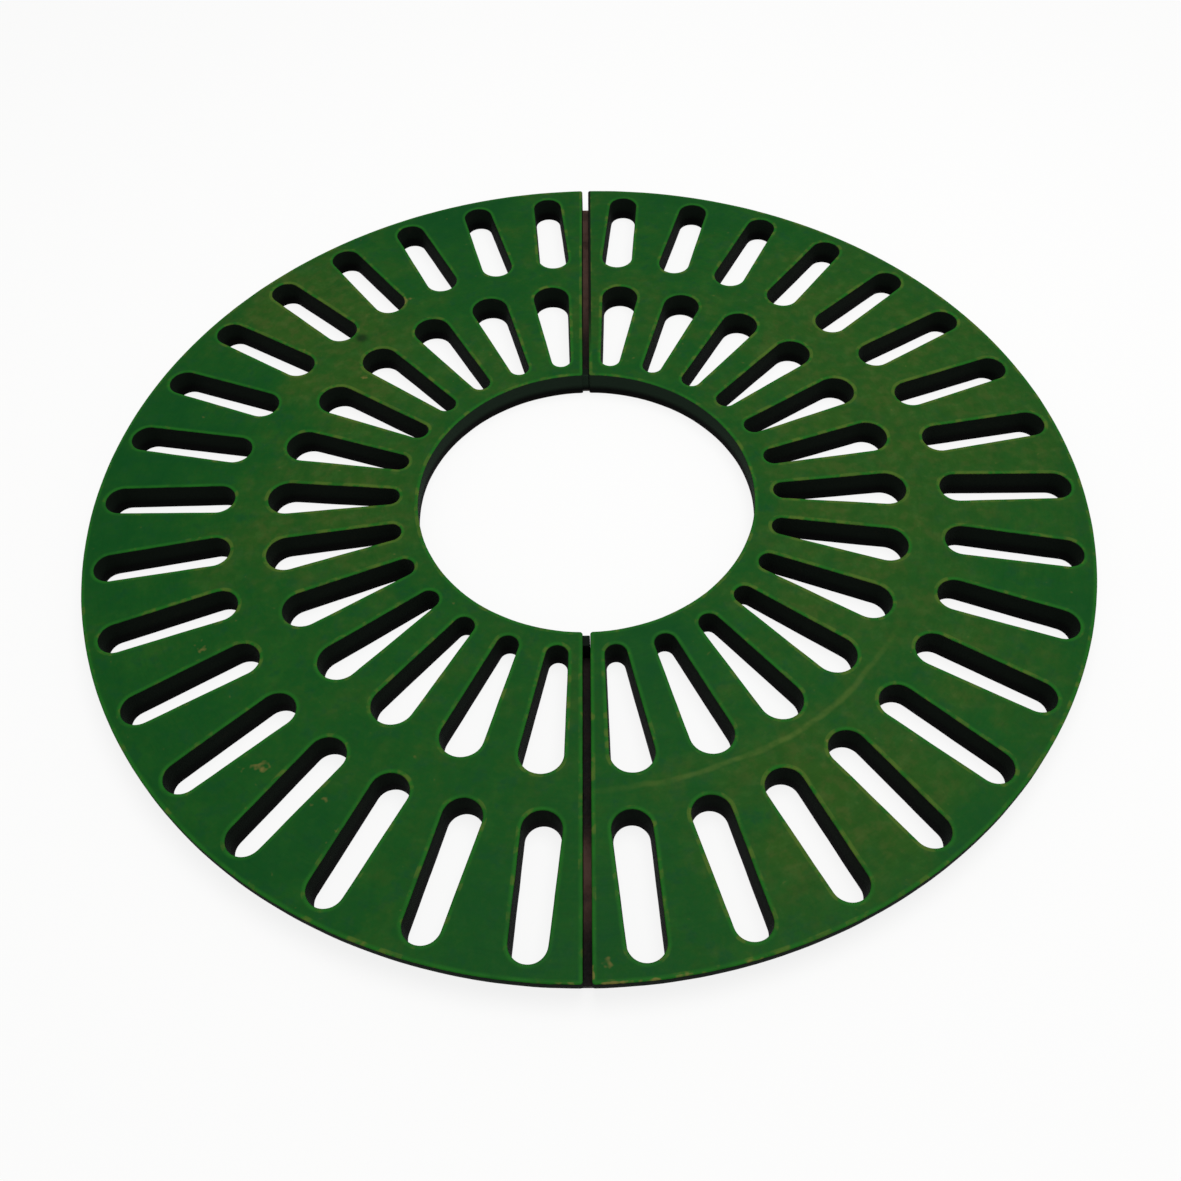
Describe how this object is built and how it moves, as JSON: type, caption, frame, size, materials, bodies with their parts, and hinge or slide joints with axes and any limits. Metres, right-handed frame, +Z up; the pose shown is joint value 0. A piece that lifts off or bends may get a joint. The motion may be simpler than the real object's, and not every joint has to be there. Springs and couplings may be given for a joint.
{
  "type": "tree grate",
  "caption": "Flat round cast-iron tree grate with radial slots round an open centre, split so that a half lifts off its joint bars to go round a standing trunk.",
  "frame": {"origin": "middle of the tree opening, on the bed that the grate lies on", "axes": "+Z up; the joint between the two halves runs along Y; the half that carries the joint bars is on -X and the lift-off half on +X"},
  "size_m": [1.2, 1.2, 0.035],
  "materials": {
    "green_coating": "satin",
    "bar_steel": "matte",
    "plated_steel": "satin"
  },
  "bodies": {
    "left_assembly": {"left_half": "green_coating", "joint_bar_back": "bar_steel", "joint_bar_front": "bar_steel", "bar_screws_back": "plated_steel", "bar_screws_front": "plated_steel", "locating_dowel_back": "plated_steel", "locating_dowel_front": "plated_steel"},
    "lift_off_half": {"right_half": "green_coating"}
  },
  "joints": [
    {"name": "right_half_lift", "type": "slide", "parent": "left_assembly", "child": "lift_off_half", "axis": [0, 0, 1], "range_m": [0, 0.3]}
  ]
}
